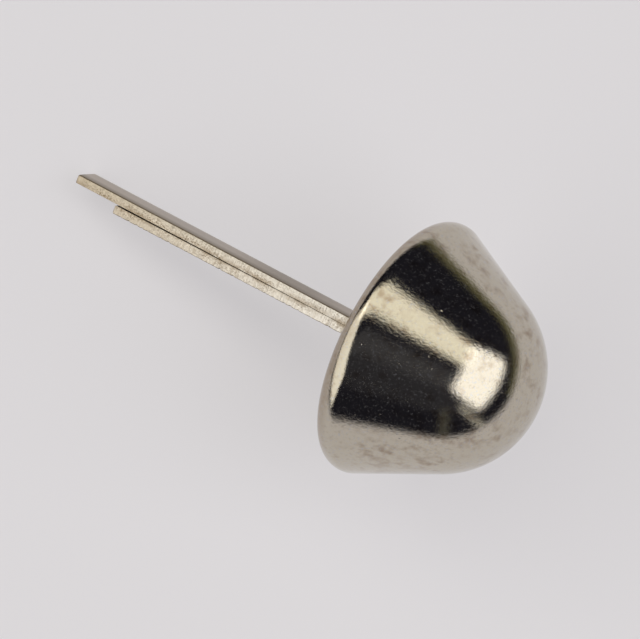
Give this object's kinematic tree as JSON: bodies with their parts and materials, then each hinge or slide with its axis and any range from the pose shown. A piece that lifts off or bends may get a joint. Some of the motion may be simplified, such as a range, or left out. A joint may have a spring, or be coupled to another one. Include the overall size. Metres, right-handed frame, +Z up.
{
  "type": "split-pin bag foot",
  "caption": "Bright nickel-plated bag foot: a conical sheet-metal head with a round nose and a split pin of folded strip, whose legs are pushed through the base and bent apart.",
  "frame": {"origin": "on the surface that it lies on, under the middle of the whole part", "axes": "+X the way the nose points as it lies, +Y to the side of the long leg, +Z up; the head's axis is in the XZ plane and leans up towards +X"},
  "size_m": [0.0272, 0.014, 0.0135],
  "materials": {
    "bright_nickel": "bright nickel plating on drawn steel sheet, faint pits and tarnish",
    "dull_nickel": "dull nickel plating on blanked steel",
    "sheared_strip": "nickel-plated steel strip with rough sheared edges"
  },
  "bodies": {
    "root": {"cap": "bright_nickel", "back_plate": "dull_nickel", "split_pin": "sheared_strip"}
  },
  "joints": []
}
